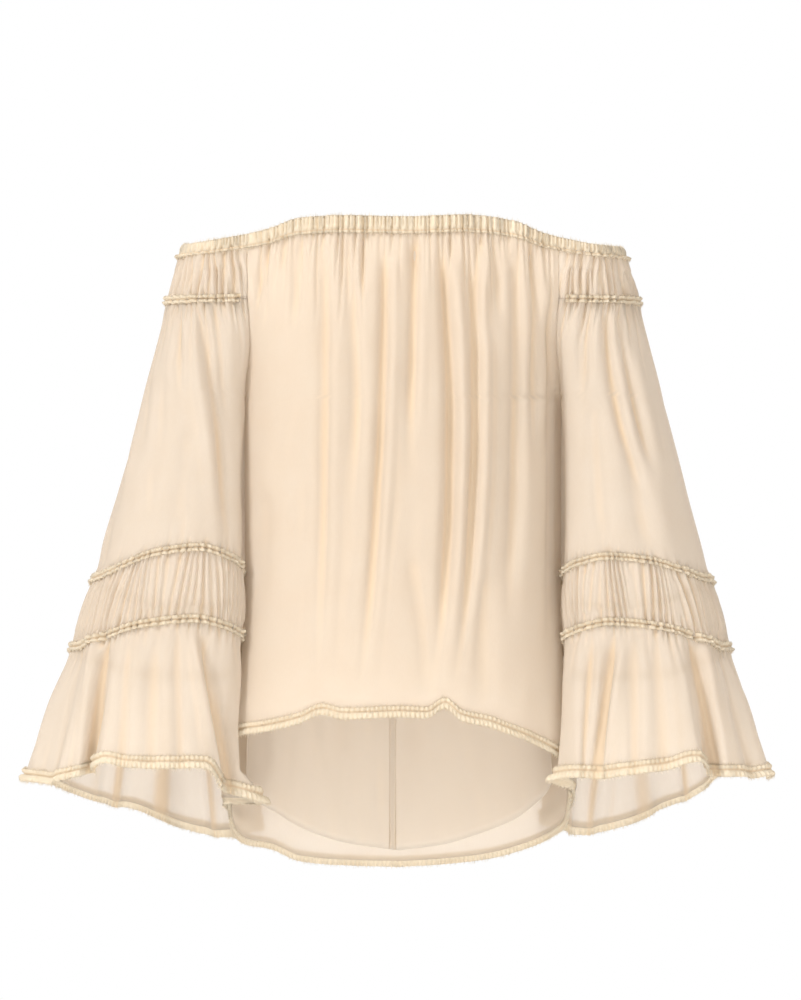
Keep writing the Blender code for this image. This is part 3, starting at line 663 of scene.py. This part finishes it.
# Waves round the flounce's hem: how far each stands out or in, and how much lower the hem hangs.
Wave = namedtuple("Wave", "around left right fall_left fall_right")
FLOUNCE_WAVES = (
    Wave(0.000, 0, 0, 26, 18),
    Wave(0.050, 5, 4, 28, 12),
    Wave(0.100, 4, 5, 29, 8),
    Wave(0.150, -9, 6, 27, 10),
    Wave(0.180, 5, -9, 8, 15),
    Wave(0.215, 10, 4, 8, 11),
    Wave(0.265, 9, 6, 5, 3),
    Wave(0.300, 12, 9, -3, -7),
    Wave(0.325, -9, -12, 3, 4),
    Wave(0.365, 4, 5, 6, 0),
    Wave(0.420, -5, 7, 4, -3),
    Wave(0.470, 5, -4, 2, 0),
    Wave(0.530, 6, 5, 0, -8),
    Wave(0.580, -8, 8, -4, -17),
    Wave(0.640, 9, -10, -8, -25),
    Wave(0.700, 6, 9, -8, -13),
    Wave(0.750, -12, -11, 0, 0),
    Wave(0.785, 13, 4, 13, 10),
    Wave(0.830, 8, 11, 21, 19),
    Wave(0.870, -12, -10, 26, 22),
    Wave(0.915, 9, 6, 29, 23),
    Wave(0.955, -3, 3, 29, 22),
    Wave(1.000, 0, 0, 26, 18),
)

# Creases on the front of each sleeve, and on its back. x is measured out from the middle.
LEFT_SLEEVE_CREASES = (
    Crease(-50, -318, 203, 180, 172, 7.5, 7, 0.9),
    Crease(-50, -150, 222, 221, 220, 4.0, 5, 0.6),
    Crease(-50, -200, 187, 176, 168, 4.8, 6, 0.6),
    Crease(-50, -120, 212, 210, 208, 3.0, 4, 0.5),
    Crease(-120, -310, 240, 250, 262, 3.0, 11, 0.4),
    Crease(-180, -310, 212, 216, 222, 2.6, 11, 0.3),
    Crease(-366, -700, 291, 309, 327, 9.0, 6, 1.4),
    Crease(-366, -700, 198, 169, 139, 9.0, 6, 1.4),
    Crease(-374, -700, 243, 246, 252, 3.4, 9, 0.8),
    Crease(-374, -700, 318, 352, 386, 6.0, 8, 1.0),
    Crease(-374, -700, 268, 276, 284, 2.6, 7, 0.6),
    Crease(-374, -700, 222, 214, 206, 3.0, 7, 0.8),
)
RIGHT_SLEEVE_CREASES = (
    Crease(-52, -250, 199, 208, 238, 7.0, 6, 1.0),
    Crease(-52, -240, 212, 226, 254, 5.5, 6, 0.8),
    Crease(-52, -170, 181, 177, 173, 4.5, 6, 0.5),
    Crease(-52, -120, 224, 228, 234, 3.2, 5, 0.5),
    Crease(-150, -315, 186, 190, 198, 3.2, 9, 0.4),
    Crease(-200, -318, 222, 232, 246, 3.0, 10, 0.4),
    Crease(-366, -700, 281, 310, 338, 9.0, 6, 1.4),
    Crease(-374, -700, 206, 185, 164, 8.0, 6, 1.2),
    Crease(-374, -700, 184, 176, 167, 6.0, 6, 1.0),
    Crease(-374, -700, 246, 254, 262, 3.2, 9, 0.8),
    Crease(-374, -700, 312, 350, 388, 6.0, 8, 1.0),
    Crease(-374, -700, 226, 224, 222, 3.0, 7, 0.8),
)
SLEEVE_BACK_CREASES = (
    Crease(-50, -300, 190, 184, 178, 3.4, 8, 0.6),
    Crease(-50, -220, 206, 216, 232, 2.8, 7, 0.6),
    Crease(-50, -140, 218, 224, 232, 2.0, 6, 0.4),
    Crease(-60, -180, 172, 168, 164, 2.2, 6, 0.4),
    Crease(-160, -330, 236, 246, 262, 1.8, 12, 0.3),
    Crease(-366, -700, 272, 292, 312, 7.0, 7, 1.2),
    Crease(-374, -700, 212, 196, 180, 6.0, 7, 1.0),
    Crease(-374, -700, 240, 246, 252, 3.0, 9, 0.8),
    Crease(-374, -700, 310, 346, 382, 5.0, 8, 1.0),
)
SLEEVE_SHARES, SLEEVE_ANGLES = even_angles(half_width=80, depth=80)


def body_side(y, z, side):
    """How far out the body's side reaches at a depth and a height."""
    from_line = y - SIDE_LINE
    front = read(BODY_LEVELS, "front_depth", z)
    behind = read(BODY_LEVELS, "back_depth", z)
    share = np.clip(np.abs(from_line) / np.where(from_line < 0, front, behind), 0, 1)
    reach = read(BODY_LEVELS, "half_width", z) * (1 - share ** ROUNDNESS) ** (1 / ROUNDNESS)
    return reach + side * read(BODY_LEVELS, "shift", z)


def below_hem(y, z):
    """How far a place beside the body lies below the body's hem and its trim."""
    from_line = y - SIDE_LINE
    front = read(BODY_LEVELS, "front_depth", z)
    back = read(BODY_LEVELS, "back_depth", z)
    share = np.clip(np.abs(from_line) / np.where(from_line < 0, front, back), 0, 1)
    turn = np.interp(np.arccos(share ** (ROUNDNESS / 2)), BODY_ANGLES, BODY_SHARES)
    hem = read(HEM_LINE, "body", np.where(from_line < 0, turn, 2 - turn))
    return hem - HEM_TRIM_BELOW - UNDER_HEM_GAP - z


def inner_place(y, drop):
    """Where around the sleeve's ring its inner side lies at a depth y."""
    forward = float(read(SLEEVE_LEVELS, "centre_y", drop)) - y
    forward /= float(read(SLEEVE_LEVELS, "front_depth" if forward > 0 else "back_depth", drop))
    angle = math.asin(min(abs(forward), 1.0) ** (ROUNDNESS / 2))
    return math.copysign(np.interp(angle, SLEEVE_ANGLES, SLEEVE_SHARES) / 4, forward)


def sleeve_ring(around, drop, side):
    """A point on the smooth sleeve. around is 0 at the inner side, 0.25 in front, 0.5 outside."""
    around = np.mod(around, 1)
    quarter = np.abs(np.mod(around * 4 + 1, 2) - 1)
    angle = np.interp(quarter, SLEEVE_SHARES, SLEEVE_ANGLES)
    out = np.cos(angle) ** (2 / ROUNDNESS) * np.where(np.abs(around - 0.5) < 0.25, 1, -1)
    forward = np.sin(angle) ** (2 / ROUNDNESS) * np.where(around < 0.5, 1, -1)
    inner = read(SLEEVE_LEVELS, "inner", drop)
    outer = read(SLEEVE_LEVELS, "outer", drop) + side * read(SLEEVE_LEVELS, "sway", drop)
    flare = np.clip((drop - CUFF_SEAM - SEAM_TRIM) / (SLEEVE_HEM - CUFF_SEAM), 0, 1)
    waves = read(FLOUNCE_WAVES, SIDES[side], around) * flare
    half_depth = np.where(forward > 0, read(SLEEVE_LEVELS, "front_depth", drop),
                          read(SLEEVE_LEVELS, "back_depth", drop)) + waves
    x = (inner + outer) / 2 + ((outer - inner) / 2 + waves) * out
    y = read(SLEEVE_LEVELS, "centre_y", drop) - half_depth * forward
    rise = read(RING_TILT, "share", around)
    lift = read(SLEEVE_LEVELS, "lift_" + SIDES[side], drop)
    sink = read(SLEEVE_LEVELS, "sink", drop)
    z = neck_height(x * side, y) * neck_fade(drop) - drop + np.where(rise > 0, lift, sink) * rise
    z = z - read(FLOUNCE_WAVES, "fall_" + SIDES[side], around) * flare
    least = body_side(y, z, side) + read(SLEEVE_LEVELS, "clearance", drop)
    least = least - UNDER_HEM * np.clip(below_hem(y, z) / UNDER_HEM_RISE, 0, 1)
    over = x - least
    softness = np.clip((drop - UNDERARM) / 40, 0, 1) * 2.5
    x = least + (over + np.sqrt(over ** 2 + 4 * softness ** 2)) / 2
    return np.stack([x, y, z], axis=-1)


def sleeve_form(share, drop, side):
    """The sleeve's ring, opened above the underarm and led to the armhole's two edges."""
    beyond = 2 * SEAM_TURN if drop < UNDERARM else 0
    turns = np.array([side * (front_edge(drop) + beyond), side * (back_edge(drop) - beyond)])
    before, behind = body_form(turns, drop) * np.array([side, 1, 1])
    seam = SEAM_GAP / 2 / SLEEVE_GIRTH
    start = inner_place(before[1], drop) + seam
    stop = 1 + inner_place(behind[1], drop) - seam
    points = sleeve_ring(start + (stop - start) * share, drop, side)
    if drop <= UNDERARM:
        for target, end, near in ((before, points[0], share), (behind, points[-1], 1 - share)):
            pull = np.clip(1 - near / SEAM_PULL, 0, 1) ** 2
            points = points + (target + (SEAM_GAP, 0, 0) - end) * pull[:, None]
    return points


def fine_folds(across, drop, seed, count, depth):
    """Even but wandering gathers, close together, as on a strip gathered at both its edges."""
    draw = np.random.default_rng(seed)
    phase = count * across
    size = np.ones_like(across)
    for wander in range(6):
        turns = draw.integers(3, 14)
        offset = draw.uniform(0, 2 * math.pi)
        phase = phase + draw.uniform(0.06, 0.2) * np.sin(2 * math.pi * turns * across + offset)
        size = size + 0.22 * np.sin(2 * math.pi * draw.integers(5, 40) * across + offset * 3)
    lean = 0.35 * np.sin(2 * math.pi * 9 * across)[None, :] * (drop - drop.mean())[:, None] / 25
    return depth * size[None, :] * np.cos(2 * math.pi * (phase[None, :] + lean))


def sleeve_relief(side, share, drop, form, out):
    """Gathers at the seams, creases and slackness of one sleeve, in its own share round it."""
    x, z = form[:, :, 0], form[:, :, 2]
    seed = 40 + side
    creases = LEFT_SLEEVE_CREASES if side < 0 else RIGHT_SLEEVE_CREASES
    push = crease_depth(creases, x, z) * eased(-2 * out[:, :, 1])
    push += crease_depth(SLEEVE_BACK_CREASES, x, z) * eased(2 * out[:, :, 1])
    on_sleeve = eased((drop - 100) / 60) * eased((ELBOW_SEAM - drop) / 40)
    push += slackness(x + form[:, :, 1], z, seed, 2.6) * on_sleeve[:, None]
    on_band = eased((drop + 8) / 10) * eased((SHOULDER_SEAM + 30 - drop) / 40)
    push += fine_folds(share, drop, seed + 10, 26, 2.2) * on_band[:, None]
    puff = np.sin(math.pi * np.clip(drop / SHOULDER_SEAM, 0, 1)) * 1.6
    puff += np.sin(math.pi * np.clip((drop - ELBOW_SEAM) / (CUFF_SEAM - ELBOW_SEAM), 0, 1)) * 2.2
    push += puff[:, None]
    push += gathers(share, drop, seed + 20, 40, SHOULDER_SEAM, 120, 3.4) * (drop > 20)[:, None]
    push += gathers(share, drop, seed + 30, 60, ELBOW_SEAM, -55, 1.3) * (drop < 345)[:, None]
    on_cuff = eased((drop - ELBOW_SEAM + 14) / 12) * eased((CUFF_SEAM + 16 - drop) / 14)
    push += fine_folds(share, drop, seed + 50, 84, 1.5) * on_cuff[:, None]
    push += gathers(share, drop, seed + 60, 60, CUFF_SEAM, 80, 2.4) * (drop > 384)[:, None]
    on_flounce = eased((drop - CUFF_SEAM) / 60)
    push += slackness(x + form[:, :, 1], z, seed + 70, 2.0) * on_flounce[:, None]
    return push * calm_edges(share, 0.035)


def sleeve_cloth(side):
    """One sleeve's points and outward directions, its columns going right seen from outside."""
    def cloth(across, drop):
        share = across if side > 0 else 1 - across[::-1]
        form = np.array([sleeve_form(share, d, side) for d in drop])
        out = outwards(form)
        points = form + out * sleeve_relief(side, share, drop, form, out)[:, :, None]
        if side > 0:
            return points, out
        flip = np.array([-1, 1, 1])
        return points[:, ::-1] * flip, out[:, ::-1] * flip
    return cloth


# The body's chiffon again, painted darker on the sleeves as painted shade.
SHADED_SLEEVE_CHIFFON = silk("Shaded sleeve chiffon", pale=(0.90, 0.80, 0.685), deep=(0.86, 0.745, 0.615),
                      fold_shade_colour=(0.84, 0.67, 0.48), alpha=0.46, glow=0.22, roughness=0.75, sheen=0.2,
                      crinkle_scale=620, bump=0.5)
SleevePiece = namedtuple("SleevePiece", "name top bottom columns row width length area hung_from")
SLEEVE_PIECES = (
    SleevePiece("shoulder_band", 0, SHOULDER_SEAM - 0.15, 260, 4, 0.40, 0.055, 0.0205,
                "neckline_trim"),
    SleevePiece("upper_sleeve", SHOULDER_SEAM + 0.15, ELBOW_SEAM - 0.15, 280, 6, 0.56, 0.31, 0.135,
                "shoulder_trim"),
    SleevePiece("cuff_band", ELBOW_SEAM + 0.15, CUFF_SEAM - 0.15, 600, 4, 0.83, 0.07, 0.0581,
                "cuff_trim_upper"),
    SleevePiece("flounce", CUFF_SEAM + 0.15, SLEEVE_HEM, 380, 4, 0.90, 0.13, 0.108,
                "cuff_trim_lower"),
)
LEFT_SLEEVE, RIGHT_SLEEVE = sleeve_cloth(-1), sleeve_cloth(1)
for side, cloth in (("left", LEFT_SLEEVE), ("right", RIGHT_SLEEVE)):
    for part in SLEEVE_PIECES:
        points, out = cloth(steps(0, 1, 1 / part.columns), steps(part.top, part.bottom, part.row))
        piece = cut_cloth(f"{part.name}_{side}_cloth", points, part.width, part.length, SHADED_SLEEVE_CHIFFON)
        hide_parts(f"{part.name}_{side}")

# Frayed trims
# Narrow strips of the same silk with both long edges left raw and frayed. Each is stitched down
# its middle over an edge or a seam, so that its two halves stand off the cloth as small ruffles.
RUFFLE = 4.6               # length of one ruffle along a trim, about
STRIP_STEP = 1.1
THREADS_PER_MM = 1.0
THREAD_RADIUS = 0.24
NECK_FRAY = 3.0            # how much higher the loose threads at the neckline stand
ROLL = math.radians(142)   # how far each half of a strip rolls back towards the cloth
TRIM_SILK = silk("Frayed silk", pale=(0.99, 0.90, 0.75), deep=(0.95, 0.83, 0.65),
                 fold_shade_colour=(0.90, 0.73, 0.52), alpha=0.8, glow=0.36, roughness=0.85, sheen=0.2,
                 crinkle_scale=1100, bump=0.8, stitch=(0.86, 0.68, 0.48))


def ruffle(along, seed):
    """An uneven wave from 0 to 1 along a trim."""
    draw = np.random.default_rng(seed)
    a, b, c, d = draw.uniform(0, 2 * math.pi, 4)
    phase = 2 * math.pi * along / RUFFLE + 1.4 * np.sin(along / 17 + a) + 0.8 * np.sin(along / 7.1 + b)
    size = 0.75 + 0.25 * np.sin(along / 11 + c) * np.sin(along / 29 + d)
    return (0.5 + 0.5 * np.sin(phase)) * size


def threads(name, roots, away, sideways, out, reach, seed):
    """Loose thread ends that stand out from a frayed edge, as one mesh of slim bent spikes."""
    draw = np.random.default_rng(seed)
    count = len(roots)
    length = (reach * draw.uniform(0.25, 1.0, count) ** 1.3)[:, None]
    lean = draw.normal(0, 0.28, count)[:, None]
    lift = draw.normal(0.05, 0.22, count)[:, None]
    bend = draw.normal(0, 0.22, count)[:, None]
    roots = roots - away * 0.8
    tip = roots + away * (length + 0.8) + sideways * lean * length + out * lift * length
    middle = (roots + tip) / 2 + sideways * bend * length + out * bend[::-1] * length * 0.6
    radius = THREAD_RADIUS * draw.uniform(0.6, 1.1, count)[:, None]
    corners = []
    for centre, share in ((roots, 1.0), (middle, 0.8)):
        for turn in range(3):
            angle = 2 * math.pi * turn / 3
            round_it = sideways * math.cos(angle) + out * math.sin(angle)
            corners.append(centre + round_it * radius * share)
    corners.append(tip)
    corners = np.stack(corners, axis=1)
    pattern = []
    for turn in range(3):
        after = (turn + 1) % 3
        pattern += [(turn, after, after + 3), (turn, after + 3, turn + 3), (turn + 3, after + 3, 6)]
    pattern.append((2, 1, 0))
    faces = (np.array(pattern)[None, :, :] + 7 * np.arange(count)[:, None, None]).reshape(-1, 3)
    mesh = bpy.data.meshes.new(name)
    mesh.from_pydata((corners.reshape(-1, 3) * MM).tolist(), [], faces.tolist())
    mesh.materials.append(TRIM_SILK)
    # Every UV here is 0, so the threads take the trim's painted stitch-line shade as their whole colour.
    mesh.uv_layers.new(name="UVMap")
    piece = bpy.data.objects.new(name, mesh)
    bpy.context.scene.collection.objects.link(piece)
    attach(piece, "root")
    return piece


def frayed_trim(name, cloths, at, above, below, seed, flare=3.6, free_above=False, closed=False,
                ends=(0.0, 1.0)):
    """One trim over the cloths' edge or seam at a drop, reaching above and below it."""
    fray = 3.0
    rows = np.concatenate([np.linspace(-(above - fray), 0, 5)[:-1], np.linspace(0, below - fray, 5)])
    parts, outs = [], []
    for cloth in cloths:
        rough = cloth(np.linspace(*ends, 60), np.array([at, at + 1.0]))[0][0]
        length = np.linalg.norm(np.diff(rough, axis=0), axis=1).sum()
        columns = max(8, round(length / STRIP_STEP))
        points, out = cloth(np.linspace(*ends, columns), at + rows)
        parts.append(points)
        outs.append(out)
    points = np.concatenate(parts, axis=1)
    out = np.concatenate(outs, axis=1)
    if closed:
        points = np.concatenate([points, points[:, :1]], axis=1)
        out = np.concatenate([out, out[:, :1]], axis=1)
    middle = points[len(rows) // 2]
    along = np.concatenate(([0], np.cumsum(np.linalg.norm(np.diff(middle, axis=0), axis=1))))
    lift = np.zeros(points.shape[:2])
    for number, row in enumerate(rows):
        far = abs(row) / (above - fray if row < 0 else below - fray)
        wave = ruffle(along, seed if row < 0 else seed + 1)
        if row < 0 and free_above:
            stand = flare * (1.5 * wave - 0.45)
        else:
            stand = flare * (0.35 + wave)
        lift[number] = CHIFFON_THICKNESS + 0.25 + stand * math.sin(ROLL * far) ** 0.8
    if closed:
        blend = eased(along / 12)
        lift = lift * blend + lift[:, -1:] * (1 - blend)
    points = points + out * lift[:, :, None]
    if closed:
        points[:, -1] = points[:, 0]
    width, length = along[-1] * MM, (rows[-1] - rows[0]) * MM
    strip = cut_cloth(f"{name}_silk", points, width, length, TRIM_SILK,
                      stitch=-rows[0] / (rows[-1] - rows[0]), closed=closed)
    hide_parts(name)

    draw = np.random.default_rng(seed + 2)
    ends_of = []
    for row, inner in ((0, 1), (-1, -2)):
        edge = points[row]
        away = edge - points[inner]
        away /= np.linalg.norm(away, axis=1, keepdims=True)
        sideways = np.gradient(edge, axis=0)
        sideways /= np.linalg.norm(sideways, axis=1, keepdims=True)
        count = round(along[-1] * THREADS_PER_MM)
        places = np.sort(draw.uniform(0, along[-1], count))
        ends_of.append([np.stack([np.interp(places, along, values[:, axis]) for axis in range(3)], 1)
                        for values in (edge, away, sideways, out[row])])
    joined = [np.concatenate(pair) for pair in zip(*ends_of)]
    fringe = threads(f"{name}_threads", *joined, reach=fray + 0.8, seed=seed + 3)
    return strip


frayed_trim("neckline_trim", (front_cloth, RIGHT_SLEEVE, back_cloth, LEFT_SLEEVE), 0,
            NECK_TRIM[0] + NECK_FRAY, NECK_TRIM[1], seed=100, free_above=True, closed=True)
for number, (side, cloth) in enumerate((("left", LEFT_SLEEVE), ("right", RIGHT_SLEEVE))):
    seed = 110 + 50 * number
    frayed_trim(f"shoulder_trim_{side}", (cloth,), SHOULDER_SEAM, SEAM_TRIM, SEAM_TRIM, seed,
                ends=(0.05, 0.95))
    frayed_trim(f"cuff_trim_upper_{side}", (cloth,), ELBOW_SEAM, SEAM_TRIM, SEAM_TRIM, seed + 10)
    frayed_trim(f"cuff_trim_lower_{side}", (cloth,), CUFF_SEAM, SEAM_TRIM, SEAM_TRIM, seed + 20)
    frayed_trim(f"flounce_trim_{side}", (cloth,), SLEEVE_HEM, 8.0, 9.5, seed + 30)
frayed_trim("hem_trim_front", (front_cloth,), BODY_HEM, 8.0, 9.5, 210)
frayed_trim("hem_trim_back", (back_cloth,), BODY_HEM, 8.0, 9.5, 220)

# Studio
# A pale floor well below the blouse, a white surround, and four soft lights: a key from the upper
# left, a fill from the right, a low bounce under the front and one from behind.
CAMERA_PLACE = (-0.0025, -4.0, -0.248)
CAMERA_LENS = 144
FLOOR_HEIGHT = -1.25
FLOOR_REACH = 4.6

bpy.ops.object.select_all(action="DESELECT")
bpy.ops.mesh.primitive_plane_add(size=FLOOR_REACH, location=(0, 0, FLOOR_HEIGHT))
floor = bpy.context.object
floor.name = "studio_floor"
floor_paint = bpy.data.materials.new("Studio floor")
floor_paint.use_nodes = True
floor_paint.node_tree.nodes["Principled BSDF"].inputs["Base Color"].default_value = (0.86, 0.86, 0.85, 1)
floor_paint.node_tree.nodes["Principled BSDF"].inputs["Roughness"].default_value = 0.9
floor.data.materials.append(floor_paint)

bpy.ops.object.camera_add(location=CAMERA_PLACE, rotation=(math.pi / 2, 0, 0))
camera = bpy.context.object
camera.data.lens = CAMERA_LENS
camera.data.sensor_width = 36
bpy.context.scene.camera = camera

world = bpy.data.worlds.new("Studio surround")
bpy.context.scene.world = world
world.use_nodes = True
surround = world.node_tree
seen = surround.nodes["Background"]
seen.inputs["Color"].default_value = (1, 1, 1, 1)
seen.inputs["Strength"].default_value = 1.0
lit = surround.nodes.new("ShaderNodeBackground")
lit.inputs["Color"].default_value = (1, 0.985, 0.96, 1)
lit.inputs["Strength"].default_value = 0.69
path = surround.nodes.new("ShaderNodeLightPath")
chosen = surround.nodes.new("ShaderNodeMixShader")
surround.links.new(path.outputs["Is Camera Ray"], chosen.inputs["Fac"])
surround.links.new(lit.outputs["Background"], chosen.inputs[1])
surround.links.new(seen.outputs["Background"], chosen.inputs[2])
surround.links.new(chosen.outputs["Shader"], surround.nodes["World Output"].inputs["Surface"])

Lamp = namedtuple("Lamp", "name place aim size power")
LAMPS = (
    Lamp("key", (-2.2, -1.9, 1.5), (0, 0, -0.3), 0.7, 68),
    Lamp("fill", (2.0, -2.6, 0.2), (0, 0, -0.3), 2.0, 14),
    Lamp("bounce", (0.1, -1.9, -1.1), (0, 0.05, -0.5), 0.8, 16),
    Lamp("back", (0.9, 2.6, 0.9), (0, 0, -0.35), 2.0, 34),
)
for lamp in LAMPS:
    bpy.ops.object.light_add(type="AREA", location=lamp.place)
    light = bpy.context.object
    light.name = f"studio_{lamp.name}"
    light.data.size = lamp.size
    light.data.energy = lamp.power
    reach = np.array(lamp.place) - np.array(lamp.aim)
    flat_reach = math.hypot(reach[0], reach[1])
    light.rotation_euler = (math.atan2(flat_reach, reach[2]), 0, math.atan2(reach[0], -reach[1]))

bpy.context.scene.view_settings.view_transform = "Standard"
bpy.context.scene.cycles.transparent_max_bounces = 12
bpy.context.scene.cycles.diffuse_bounces = 2
